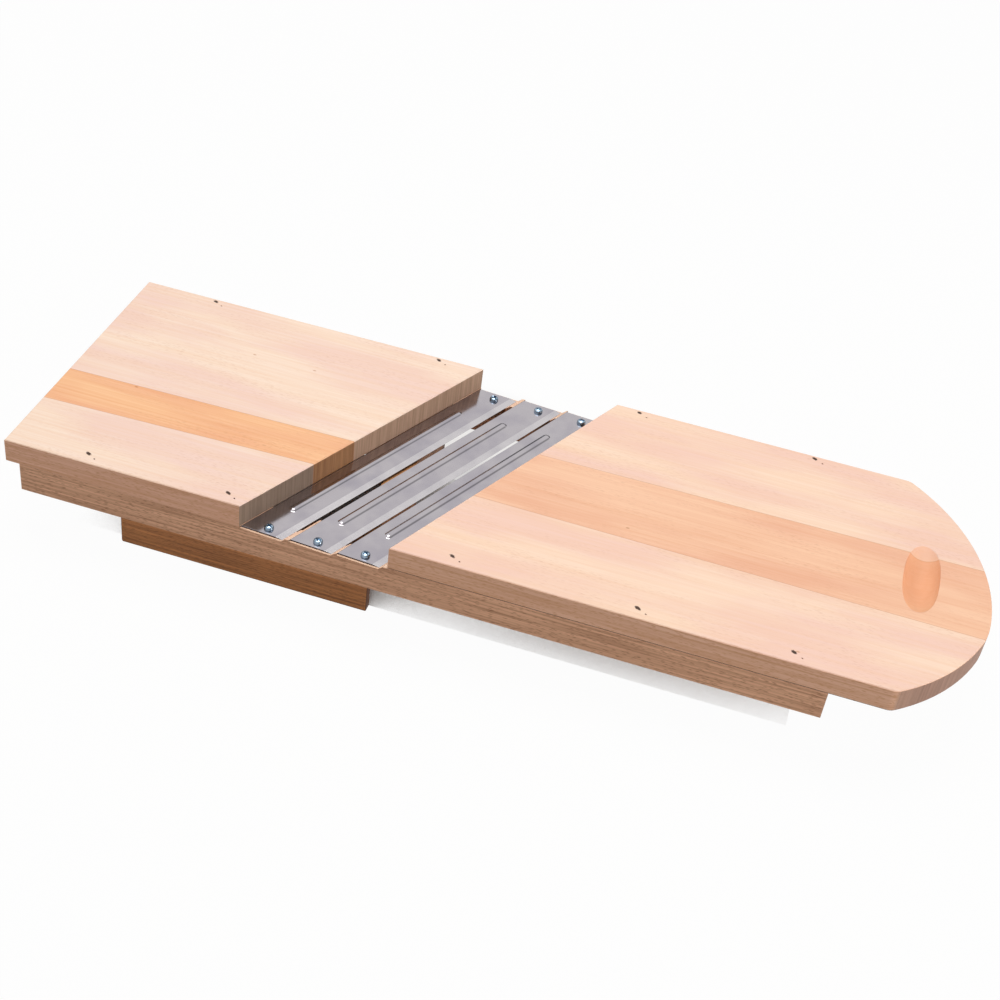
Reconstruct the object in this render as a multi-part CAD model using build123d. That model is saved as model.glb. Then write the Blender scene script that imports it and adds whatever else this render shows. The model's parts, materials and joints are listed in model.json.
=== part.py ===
from build123d import *
import os
from math import atan2, cos, sin

# Wooden vegetable slicer in millimetres, lying upside down on its hopper.
# +X runs to the rounded end, +Y to the back and +Z up to the boards' outer faces.
# The origin is under the middle of the outline, on the plane of the hopper's rim.

# The body: two boards on two side rails
LENGTH = 601.0
WIDTH = 200.0
STAND_HEIGHT = 77.5
BOARD_THICKNESS = 16.0
WOOD_EDGE = 0.5
LEFT_BOARD_LOWER_EDGE = 0.1
RIGHT_BOARD_LOWER_EDGE = 0.3

LEFT_END = -LENGTH / 2
FRONT = -WIDTH / 2
BACK = WIDTH / 2
BOARD_TOP = STAND_HEIGHT
RAIL_TOP = BOARD_TOP - BOARD_THICKNESS

# The blade window: both boards are cut off along the same slant
LEFT_BOARD_FRONT_LENGTH = 155.1
WINDOW_LENGTH = 94.9
SLANT_RUN = 92.5
SLANT = atan2(SLANT_RUN, WIDTH)

# The right board's rounded end, cut by hand: two arcs with a blunt meeting and eased corners,
# each arc as its centre's distances to the left end and the front face, and its radius
BACK_ARC = (461.0, 85.5, 140.0)
FRONT_ARC = (478.6, 101.9, 126.0)
ARC_MEETING_RADIUS = 60.0
ROUND_CORNER = 8.0

# Seams between the glued staves, as distances from the front face at the board's two ends
LEFT_BOARD_SPAN = LEFT_BOARD_FRONT_LENGTH + SLANT_RUN
LEFT_SEAMS = ((49.0, 58.2), (83.5, 88.9))
RIGHT_BOARD_START = LEFT_BOARD_FRONT_LENGTH + WINDOW_LENGTH
RIGHT_SEAMS = ((67.9, 64.0), (124.0, 127.1))

# Blind finger scoop in the right board, milled by a disc cutter with a round rim
SCOOP_X = LEFT_END + 557.2
SCOOP_Y = FRONT + 104.5
SCOOP_LENGTH = 65.0
SCOOP_WIDTH = 22.5
SCOOP_DEPTH = 8.0

# Side rails: a guide strip with a lip under the board, on which the hopper's sides run
RAIL_START = 9.0
RAIL_LENGTH = 508.0
RAIL_HEIGHT = 20.6
GUIDE_WIDTH = 21.0
LIP_WIDTH = 25.5
LIP_HEIGHT = 4.5

# Blades: slanted strips of stamped sheet, each sloping down to its cutting edge
BLADE_STARTS = (0.3, 32.0, 62.4)
BLADE_WIDTH = 24.1
BLADE_THICKNESS = 1.0
BLADE_TILT_DROP = 1.6
BLADE_END_INSET = 1.3
BEVEL_WIDTH = 4.0
EDGE_LAND = 0.12
BLADE_TILT = atan2(BLADE_TILT_DROP, BLADE_WIDTH)
SEAT_CLEARANCE = 0.3
SHOULDER_RUN = 2.5

# The slot along each cutting edge runs on into both rails and widens a little to the back
SLOT_INSET = 12.0
SLOT_FRONT_WIDTH = 3.5
SLOT_BACK_WIDTH = 4.7
SLOT_DEPTH = 6.0

# Stiffening bead pressed along each blade
BEAD_OFFSET = 8.9
BEAD_WIDTH = 5.0
BEAD_RISE = 1.1
BEAD_FRONT = 26.8
BEAD_BACK = 168.0
BEAD_WALL = 0.92

# Pan-head screw at each end of a blade: distance from the blade's back and from the wood's side
FRONT_SCREW = (12.3, 6.4)
BACK_SCREW = (13.8, 8.0)
SCREW_HEAD_PROFILE = ((3.0, 0.0), (2.9, 1.1), (0.0, 2.0))
SCREW_DIAMETER = 3.0
SCREW_LENGTH = 12.0
SCREW_TIP = 3.0
SCREW_TIP_RADIUS = 0.2
RECESS_LENGTH = 3.2
RECESS_WIDTH = 0.8
RECESS_FLOOR = 0.8

# Narrow-crown staples, driven a little below the boards' faces and turned on the slant; the wood
# has closed over each crown but for a larger pit at its left end and a small one at its right
STAPLE_CROWN = 6.4
STAPLE_WIRE_WIDTH = 1.25
STAPLE_WIRE_DEPTH = 1.0
STAPLE_LEG = 28.0
STAPLE_SUNK = 1.0
STAPLE_TURN = -31.0
LARGE_PIT = ((-1.6, -1.0), (0.1, 1.6), (1.7, -0.3))
SMALL_PIT = ((-0.6, -0.5), (0.7, -0.3), (0.5, 0.5), (-0.5, 0.4))
PIT_DEPTH = 1.5
FRONT_STAPLE_INSET = 7.0
BACK_STAPLE_INSET = 4.7
LEFT_STAPLES_FRONT = (54.9, 146.8)
LEFT_STAPLES_BACK = (55.0, 219.3)
RIGHT_STAPLES_FRONT = (289.3, 402.5, 494.7)
RIGHT_STAPLES_BACK = (361.3, 480.9)

# Hopper: a loose frame that slides between the rails, under their lips as it lies here
HOPPER_START = 64.6
HOPPER_LENGTH = 167.6
HOPPER_SIDE_GAP = 0.8
HOPPER_LIP_GAP = 0.3
HOPPER_SIDE_THICKNESS = 6.0
HOPPER_RIM_ROUND = 1.2
HOPPER_END_THICKNESS = 14.0
HOPPER_END_SETBACK = 16.0
HOPPER_TOP = RAIL_TOP - LIP_HEIGHT - HOPPER_LIP_GAP
HOPPER_HALF_WIDTH = BACK - GUIDE_WIDTH - HOPPER_SIDE_GAP

# Brads of flat wire, driven through the hopper's sides into its end blocks
BRAD_THICKNESS = 1.0
BRAD_WIDTH = 1.3
BRAD_LENGTH = 24.0
BRAD_HEAD_WIDTH = 1.9
BRAD_HEAD_DEPTH = 0.8
BRAD_HEIGHTS = (28.0, 46.0)

# Reach of the tools that cut right through
THROUGH = 400.0


def ease(edges, amount=WOOD_EDGE):
    """The wooden piece that has these edges, with the sharpness taken off them."""
    return chamfer(edges, amount)


def slab(low_y, high_y):
    """A block that keeps what lies between two distances across the width."""
    block = Box(2 * THROUGH, high_y - low_y, THROUGH)
    return Pos(0, (low_y + high_y) / 2, STAND_HEIGHT / 2) * block


def board(outline, lower_edge):
    """A board of full thickness from its outline, its upper arris eased more than the lower."""
    whole = Pos(0, 0, RAIL_TOP) * extrude(outline, BOARD_THICKNESS)
    eased = ease(whole.faces().sort_by(Axis.Z)[-1].edges())
    return ease(eased.faces().sort_by(Axis.Z)[0].edges(), lower_edge)


def left_board():
    """The square-ended board, cut off on the slant at the blade window."""
    front_corner = LEFT_END + LEFT_BOARD_FRONT_LENGTH
    outline = Polygon(
        (LEFT_END, FRONT),
        (front_corner, FRONT),
        (front_corner + SLANT_RUN, BACK),
        (LEFT_END, BACK),
        align=None,
    )
    return board(outline, LEFT_BOARD_LOWER_EDGE)


def round_disc(arc):
    """The full disc of one of the rounded end's arcs."""
    x, y, radius = arc
    return Pos(LEFT_END + x, FRONT + y) * Circle(radius)


def right_board():
    """The board with the rounded end and the finger scoop."""
    front_corner = LEFT_END + RIGHT_BOARD_START
    blank = Polygon(
        (front_corner, FRONT),
        (-LEFT_END, FRONT),
        (-LEFT_END, BACK),
        (front_corner + SLANT_RUN, BACK),
        align=None,
    )
    reach = Pos(LEFT_END + BACK_ARC[0]) * Rectangle(LENGTH, WIDTH, align=(Align.MAX, Align.CENTER))
    rounded = round_disc(BACK_ARC) & round_disc(FRONT_ARC)
    outline = blank & (rounded + reach)
    meeting, *shoulders = outline.vertices().sort_by(Axis.X)[:-4:-1]
    outline = fillet(meeting, ARC_MEETING_RADIUS)
    shoulders = [outline.vertices().sort_by_distance(corner)[0] for corner in shoulders]
    return board(fillet(shoulders, ROUND_CORNER), RIGHT_BOARD_LOWER_EDGE) - scoop_cutter()


def scoop_cutter():
    """The swept shape of the disc cutter: a ring that only dips into the board's face."""
    rim = ((SCOOP_WIDTH / 2) ** 2 + SCOOP_DEPTH**2) / (2 * SCOOP_DEPTH)
    reach = ((SCOOP_LENGTH / 2) ** 2 + SCOOP_DEPTH**2) / (2 * SCOOP_DEPTH)
    ring = Rot(Y=90) * Torus(reach - rim, rim)
    return Pos(SCOOP_X, SCOOP_Y, BOARD_TOP + reach - SCOOP_DEPTH) * ring


def staves(whole, start, span, seams):
    """Front, middle and back stave: the board parted along its two seams."""
    low_x = LEFT_END + start
    lines = [(-THROUGH, -THROUGH)] + list(seams) + [(THROUGH, THROUGH)]
    parts = []
    for low, high in zip(lines, lines[1:]):
        strip = Polygon(
            (low_x, FRONT + low[0]),
            (low_x + span, FRONT + low[1]),
            (low_x + span, FRONT + high[1]),
            (low_x, FRONT + high[0]),
            align=None,
        )
        parts.append(whole & Pos(0, 0, RAIL_TOP) * extrude(strip, BOARD_THICKNESS))
    return parts


def rail():
    """The front rail before its blade seats are cut."""
    section = Polygon(
        (0, 0),
        (LIP_WIDTH, 0),
        (LIP_WIDTH, -LIP_HEIGHT),
        (GUIDE_WIDTH, -LIP_HEIGHT),
        (GUIDE_WIDTH, -RAIL_HEIGHT),
        (0, -RAIL_HEIGHT),
        align=None,
    )
    profile = Plane.YZ.offset(LEFT_END + RAIL_START) * Pos(FRONT, RAIL_TOP) * section
    strip = extrude(profile, RAIL_LENGTH, dir=(1, 0, 0))
    top = strip.faces().sort_by(Axis.Z)[-1]
    inner_corner = strip.edges().filter_by(Axis.X).filter_by(on_inner_corner)
    kept = top.edges().filter_by(Axis.X).sort_by(Axis.Y)[:1] + inner_corner
    eased = [edge for edge in strip.edges().filter_by(Axis.X) if edge not in kept]
    return ease(eased)


def on_inner_corner(edge):
    """Whether an edge is the rail's inner corner, where the lip meets the guide."""
    middle = edge.center()
    deep = abs(middle.Z - (RAIL_TOP - LIP_HEIGHT)) < WOOD_EDGE
    return deep and abs(middle.Y - (FRONT + GUIDE_WIDTH)) < WOOD_EDGE


def blade_place(start):
    """A blade's own frame: X to its cutting edge, Y along it to the back, Z off its face.

    The start is how far to the right of the left board's cut the blade begins, and the
    origin is the blade's upper left edge at the middle of the width.
    """
    origin = (LEFT_END + LEFT_BOARD_FRONT_LENGTH + start + SLANT_RUN / 2, 0, RAIL_TOP)
    across = Vector(cos(SLANT), -sin(SLANT), 0) * cos(BLADE_TILT) - Vector(0, 0, sin(BLADE_TILT))
    along = Vector(sin(SLANT), cos(SLANT), 0)
    return Plane(origin=origin, x_dir=across, z_dir=across.cross(along))


def along_blade(across, y):
    """The place along a blade of a point across it that lies at y in the whole slicer."""
    return (y + across * cos(BLADE_TILT) * sin(SLANT)) / cos(SLANT)


def blade_section(outline):
    """A strip in the blade's frame, longer than any blade, from its section."""
    return extrude(Plane.XZ * outline, THROUGH / 2, both=True)


def bead(radius, rise):
    """A round-ended bar under the blade's face that stands out of it by the rise."""
    front = along_blade(BEAD_OFFSET, FRONT + BEAD_FRONT) + BEAD_WIDTH / 2
    back = along_blade(BEAD_OFFSET, FRONT + BEAD_BACK) - BEAD_WIDTH / 2
    bar = Pos(0, (front + back) / 2) * Rot(X=90) * Cylinder(radius, back - front)
    for end in (front, back):
        bar += Pos(0, end) * Sphere(radius)
    return Pos(BEAD_OFFSET, 0, rise - radius) * bar


def blade():
    """One blade in its own frame: ground strip, pressed bead and screw holes."""
    strip = blade_section(
        Polygon(
            (0, 0),
            (BLADE_WIDTH - BEVEL_WIDTH, 0),
            (BLADE_WIDTH, -BLADE_THICKNESS + EDGE_LAND),
            (BLADE_WIDTH, -BLADE_THICKNESS),
            (0, -BLADE_THICKNESS),
            align=None,
        )
    )
    radius = ((BEAD_WIDTH / 2) ** 2 + BEAD_RISE**2) / (2 * BEAD_RISE)
    above = Box(BLADE_WIDTH, THROUGH, BLADE_WIDTH, align=(Align.MIN, Align.CENTER, Align.MIN))
    raised = bead(radius, BEAD_RISE) & above
    hollow = bead(radius - BEAD_WALL, BEAD_RISE - BEAD_WALL)
    return strip + raised - hollow


def screw():
    """A screw standing on the blade's face, its axis through the origin."""
    straight = SCREW_LENGTH - SCREW_TIP
    radius = SCREW_DIAMETER / 2
    half = Polygon(
        (0, -SCREW_LENGTH),
        (SCREW_TIP_RADIUS, -SCREW_LENGTH),
        (radius, -straight),
        (radius, 0),
        *SCREW_HEAD_PROFILE,
        align=None,
    )
    body = revolve(Plane.XZ * half, Axis.Z)
    bar = Box(RECESS_LENGTH, RECESS_WIDTH, THROUGH, align=(Align.CENTER, Align.CENTER, Align.MIN))
    recess = bar + Rot(Z=90) * bar
    return body - Pos(0, 0, RECESS_FLOOR) * recess


def screw_pair(start):
    """The front and back screw of the blade that begins at this start."""
    front_offset, front_inset = FRONT_SCREW
    back_offset, back_inset = BACK_SCREW
    pair = []
    for across, y in ((front_offset, FRONT + front_inset), (back_offset, BACK - back_inset)):
        pair.append(blade_place(start) * Pos(across, along_blade(across, y)) * screw())
    return pair


def seat_cutter(start):
    """What a rail loses under one blade: notch, sloping seat and the next tooth's shoulder."""
    tooth_back = BLADE_WIDTH + SEAT_CLEARANCE + SHOULDER_RUN
    shoulder = (tooth_back * cos(BLADE_TILT), tooth_back * sin(BLADE_TILT))
    outline = Polygon(
        (0, -BLADE_THICKNESS),
        (BLADE_WIDTH + SEAT_CLEARANCE, -BLADE_THICKNESS),
        shoulder,
        (shoulder[0], BOARD_THICKNESS),
        (0, BOARD_THICKNESS),
        align=None,
    )
    return blade_place(start) * blade_section(outline)


def slot_cutter(start):
    """The slot along a blade's cutting edge, as far as it runs on into the rails."""
    front_edge = BLADE_WIDTH + SLOT_FRONT_WIDTH
    back_edge = BLADE_WIDTH + SLOT_BACK_WIDTH
    front = FRONT + SLOT_INSET
    back = BACK - SLOT_INSET
    outline = Polygon(
        (BLADE_WIDTH, along_blade(BLADE_WIDTH, front)),
        (front_edge, along_blade(front_edge, front)),
        (back_edge, along_blade(back_edge, back)),
        (BLADE_WIDTH, along_blade(BLADE_WIDTH, back)),
        align=None,
    )
    return blade_place(start) * Pos(0, 0, -SLOT_DEPTH) * extrude(outline, BOARD_THICKNESS)


def staple():
    """A staple from its crown down, the middle of the crown's top at the origin."""
    top_middle = (Align.CENTER, Align.CENTER, Align.MAX)
    wire = Box(STAPLE_CROWN, STAPLE_WIRE_WIDTH, STAPLE_WIRE_DEPTH, align=top_middle)
    for side in (-1, 1):
        leg = Box(STAPLE_WIRE_DEPTH, STAPLE_WIRE_WIDTH, STAPLE_LEG, align=top_middle)
        wire += Pos(side * (STAPLE_CROWN - STAPLE_WIRE_DEPTH) / 2) * leg
    return wire


def staple_places(front_places, back_places):
    """Where a board's staples stand, from their distances to the slicer's left end."""
    spots = [(x, FRONT + FRONT_STAPLE_INSET) for x in front_places]
    spots += [(x, BACK - BACK_STAPLE_INSET) for x in back_places]
    height = BOARD_TOP - STAPLE_SUNK
    return [Pos(LEFT_END + x, y, height) * Rot(Z=STAPLE_TURN) for x, y in spots]


def pit(outline, crown_end):
    """A pit in the face over one end of a staple's crown, where the wood hasn't closed again."""
    prism = extrude(Polygon(*outline, align=None), THROUGH)
    return Pos(crown_end, 0, STAPLE_SUNK - PIT_DEPTH) * prism


def staple_tools(place):
    """What a board loses to one staple: its own room and the pits over its crown's ends."""
    crown_end = STAPLE_CROWN / 2
    return [place * staple(), place * pit(LARGE_PIT, -crown_end), place * pit(SMALL_PIT, crown_end)]


def hopper_side():
    """The hopper's front side board: square at the rails, rounded at the rim's corners."""
    board_face = Rectangle(HOPPER_LENGTH, HOPPER_TOP, align=(Align.MIN, Align.MIN))
    rim_corners = board_face.vertices().group_by(Axis.Y)[0]
    face = Plane.XZ.offset(HOPPER_HALF_WIDTH) * Pos(LEFT_END + HOPPER_START) * fillet(
        rim_corners, HOPPER_RIM_ROUND
    )
    side = extrude(face, -HOPPER_SIDE_THICKNESS)
    outlines = side.faces().filter_by(Axis.Y).edges()
    return ease(outlines)


def hopper_end(start):
    """An end block between the hopper's sides, set back from the rim."""
    half_length = HOPPER_HALF_WIDTH - HOPPER_SIDE_THICKNESS
    low = HOPPER_END_SETBACK
    block = Box(HOPPER_END_THICKNESS, 2 * half_length, HOPPER_TOP - low)
    placed = Pos(LEFT_END + start + HOPPER_END_THICKNESS / 2, 0, (HOPPER_TOP + low) / 2) * block
    return ease(placed.edges().filter_by(Axis.Y))


def brad():
    """A brad pointing along +Y, its head's face at the origin."""
    from_face = (Align.CENTER, Align.MIN, Align.CENTER)
    shank = Box(BRAD_THICKNESS, BRAD_LENGTH, BRAD_WIDTH, align=from_face)
    head = Box(BRAD_THICKNESS, BRAD_HEAD_DEPTH, BRAD_HEAD_WIDTH, align=from_face)
    return shank + head


def brads(start):
    """The four brads of one end block, two through each side board."""
    x = LEFT_END + start + HOPPER_END_THICKNESS / 2
    front = [Pos(x, -HOPPER_HALF_WIDTH, z) * brad() for z in BRAD_HEIGHTS]
    return front + [mirror(one, about=Plane.XZ) for one in front]


def cut(piece, tools):
    """The piece less each of the tools."""
    for tool in tools:
        piece -= tool
    return piece


def write(name, *solids):
    """Writes one node's solids to its own file."""
    group = solids[0] if len(solids) == 1 else Compound(children=list(solids))
    group.label = name
    export_step(group, f"parts/{name}.step")


def write_boards(left_places, right_places):
    """The six staves, with room for the staples cut in them."""
    rows = (
        ("left_board", left_board(), 0, LEFT_BOARD_SPAN, LEFT_SEAMS, left_places),
        (
            "right_board",
            right_board(),
            RIGHT_BOARD_START,
            LENGTH - RIGHT_BOARD_START,
            RIGHT_SEAMS,
            right_places,
        ),
    )
    for name, whole, start, span, seams, places in rows:
        tools = [tool for place in places for tool in staple_tools(place)]
        for row, stave in zip(("front", "middle", "back"), staves(whole, start, span, seams)):
            write(f"{name}_{row}_stave", cut(stave, tools))


def write_slicer():
    """Everything that stays with the boards: boards, rails, blades and their fasteners."""
    left_places = staple_places(LEFT_STAPLES_FRONT, LEFT_STAPLES_BACK)
    right_places = staple_places(RIGHT_STAPLES_FRONT, RIGHT_STAPLES_BACK)
    write_boards(left_places, right_places)
    left_staples = [place * staple() for place in left_places]
    right_staples = [place * staple() for place in right_places]
    write("left_board_staples", *left_staples)
    write("right_board_staples", *right_staples)

    screws = [screw_pair(start) for start in BLADE_STARTS]
    seats = [cutter(start) for start in BLADE_STARTS for cutter in (seat_cutter, slot_cutter)]
    fasteners = left_staples + right_staples + [one for pair in screws for one in pair]
    front = rail()
    write("front_rail", cut(front, seats + fasteners))
    write("back_rail", cut(mirror(front, about=Plane.XZ), seats + fasteners))

    window = slab(FRONT + BLADE_END_INSET, BACK - BLADE_END_INSET)
    for number, (start, pair) in enumerate(zip(BLADE_STARTS, screws), start=1):
        placed = (blade_place(start) * blade()) & window
        write(f"blade_{number}", cut(placed, pair))
        write(f"blade_{number}_screws", *pair)


def write_hopper():
    """The sliding hopper: two sides, two end blocks and their brads."""
    end_starts = {
        "left": HOPPER_START,
        "right": HOPPER_START + HOPPER_LENGTH - HOPPER_END_THICKNESS,
    }
    nails = {place: brads(start) for place, start in end_starts.items()}
    every_nail = nails["left"] + nails["right"]
    front = hopper_side()
    write("hopper_front_side", cut(front, every_nail))
    write("hopper_back_side", cut(mirror(front, about=Plane.XZ), every_nail))
    for place, start in end_starts.items():
        write(f"hopper_{place}_end", cut(hopper_end(start), nails[place]))
        write(f"hopper_{place}_end_brads", *nails[place])


os.makedirs("parts", exist_ok=True)
write_slicer()
write_hopper()
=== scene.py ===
"""Looks of the wooden vegetable slicer, in metres, in the part's own frame.

The slicer lies upside down on its hopper: two beech boards on two rails, three slanted
blades between the boards and a hopper that slides along the rails.
"""

import json
import logging
import math
from dataclasses import dataclass, field
from enum import Enum

import bmesh
import bpy
from mathutils import Matrix, Vector

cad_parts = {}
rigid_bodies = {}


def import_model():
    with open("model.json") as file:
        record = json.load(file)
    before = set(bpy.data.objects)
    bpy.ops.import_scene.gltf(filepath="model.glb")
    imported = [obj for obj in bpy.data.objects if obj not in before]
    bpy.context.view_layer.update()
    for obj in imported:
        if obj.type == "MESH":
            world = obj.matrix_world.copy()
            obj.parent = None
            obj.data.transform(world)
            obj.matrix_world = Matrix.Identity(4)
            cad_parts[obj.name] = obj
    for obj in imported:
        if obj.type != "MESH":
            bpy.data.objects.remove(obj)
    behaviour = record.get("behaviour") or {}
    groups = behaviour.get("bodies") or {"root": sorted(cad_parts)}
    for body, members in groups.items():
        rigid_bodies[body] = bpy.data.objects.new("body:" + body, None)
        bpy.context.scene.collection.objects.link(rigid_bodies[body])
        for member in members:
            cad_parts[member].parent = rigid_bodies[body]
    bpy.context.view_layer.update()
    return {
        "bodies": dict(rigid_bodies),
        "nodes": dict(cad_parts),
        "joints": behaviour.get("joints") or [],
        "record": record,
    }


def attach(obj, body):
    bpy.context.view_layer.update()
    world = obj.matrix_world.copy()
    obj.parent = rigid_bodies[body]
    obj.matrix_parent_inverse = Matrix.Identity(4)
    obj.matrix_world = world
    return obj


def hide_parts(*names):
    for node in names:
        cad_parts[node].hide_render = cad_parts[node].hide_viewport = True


LOG = logging.getLogger("slicer")
MM = 0.001

Point = tuple[float, float, float]
Socket, Tree = bpy.types.NodeSocket, bpy.types.NodeTree
Material, Mesh = bpy.types.Material, bpy.types.Mesh

# The nodes that come back most, and the settings of a smooth range and of a mix of colours.
MATH, RANGE, MIX = "ShaderNodeMath", "ShaderNodeMapRange", "ShaderNodeMix"
MAPPING, SEPARATE, COMBINE = "ShaderNodeMapping", "ShaderNodeSeparateXYZ", "ShaderNodeCombineXYZ"
TRANSFORM = "GeometryNodeTransform"
SMOOTH = {"interpolation_type": "SMOOTHSTEP"}
COLOURS = {"out": 2, "data_type": "RGBA"}


class Body(Enum):
    """The part's moving bodies."""

    SLICER = "slicer"
    HOPPER = "hopper"


def linear(code: str) -> tuple[float, float, float, float]:
    """Turns an sRGB hex colour into the linear colour that a socket takes.

    Args:
        code: The colour as "#rrggbb".

    Returns:
        Red, green, blue and an alpha of one.
    """
    channels = (int(code[i : i + 2], 16) / 255 for i in (1, 3, 5))
    red, green, blue = (
        c / 12.92 if c <= 0.04045 else ((c + 0.055) / 1.055) ** 2.4 for c in channels
    )
    return red, green, blue, 1.0


def add(
    tree: Tree, kind: str, inputs: dict | None = None, out: int | str = 0, **settings: object
) -> Socket | bpy.types.Node:
    """Adds a node with its settings and links.

    Args:
        tree: The tree that gets the node.
        kind: The node's type.
        inputs: Values, hex colours or output sockets, by the input's name or number.
        out: The name or number of the output to return.
        **settings: The node's own properties.

    Returns:
        The output socket, or the node itself where it has no outputs.
    """
    node = tree.nodes.new(kind)
    for name, value in settings.items():
        setattr(node, name, value)
    for key, value in (inputs or {}).items():
        if isinstance(value, Socket):
            tree.links.new(value, node.inputs[key])
        else:
            hexadecimal = isinstance(value, str) and value.startswith("#")
            node.inputs[key].default_value = linear(value) if hexadecimal else value
    return node.outputs[out] if len(node.outputs) else node


def stretched_noise(tree: Tree, place: Socket, per_metre: Point, detail: float) -> Socket:
    """Draws noise that is longer in one direction.

    Args:
        tree: The material's tree.
        place: The place on the piece.
        per_metre: How many patches there are in a metre, each way.
        detail: How many finer layers are added.

    Returns:
        The noise, from zero to one.
    """
    stretched = add(tree, MAPPING, {"Vector": place, "Scale": per_metre})
    inputs = {"Vector": stretched, "Scale": 1.0, "Detail": detail}
    return add(tree, "ShaderNodeTexNoise", inputs, "Fac")


def new_material(name: str) -> tuple[Material, Tree]:
    """Makes an empty node material.

    Args:
        name: The finish's name.

    Returns:
        The material and its tree.
    """
    material = bpy.data.materials.new(name)
    material.use_nodes = True
    material.node_tree.nodes.clear()
    return material, material.node_tree


def end_surface(tree: Tree, height: Socket, relief: tuple[float, float], looks: dict) -> None:
    """Ends a material with a surface that has a fine relief.

    Args:
        tree: The material's tree.
        height: The relief's height, from zero to one.
        relief: How far it shows, and its depth in millimetres.
        looks: The surface's other inputs by name.
    """
    strength, depth = relief
    inputs = {"Strength": strength, "Distance": MM * depth, "Height": height}
    bump = add(tree, "ShaderNodeBump", inputs)
    shader = add(tree, "ShaderNodeBsdfPrincipled", {**looks, "Normal": bump})
    add(tree, "ShaderNodeOutputMaterial", {"Surface": shader})


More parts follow.
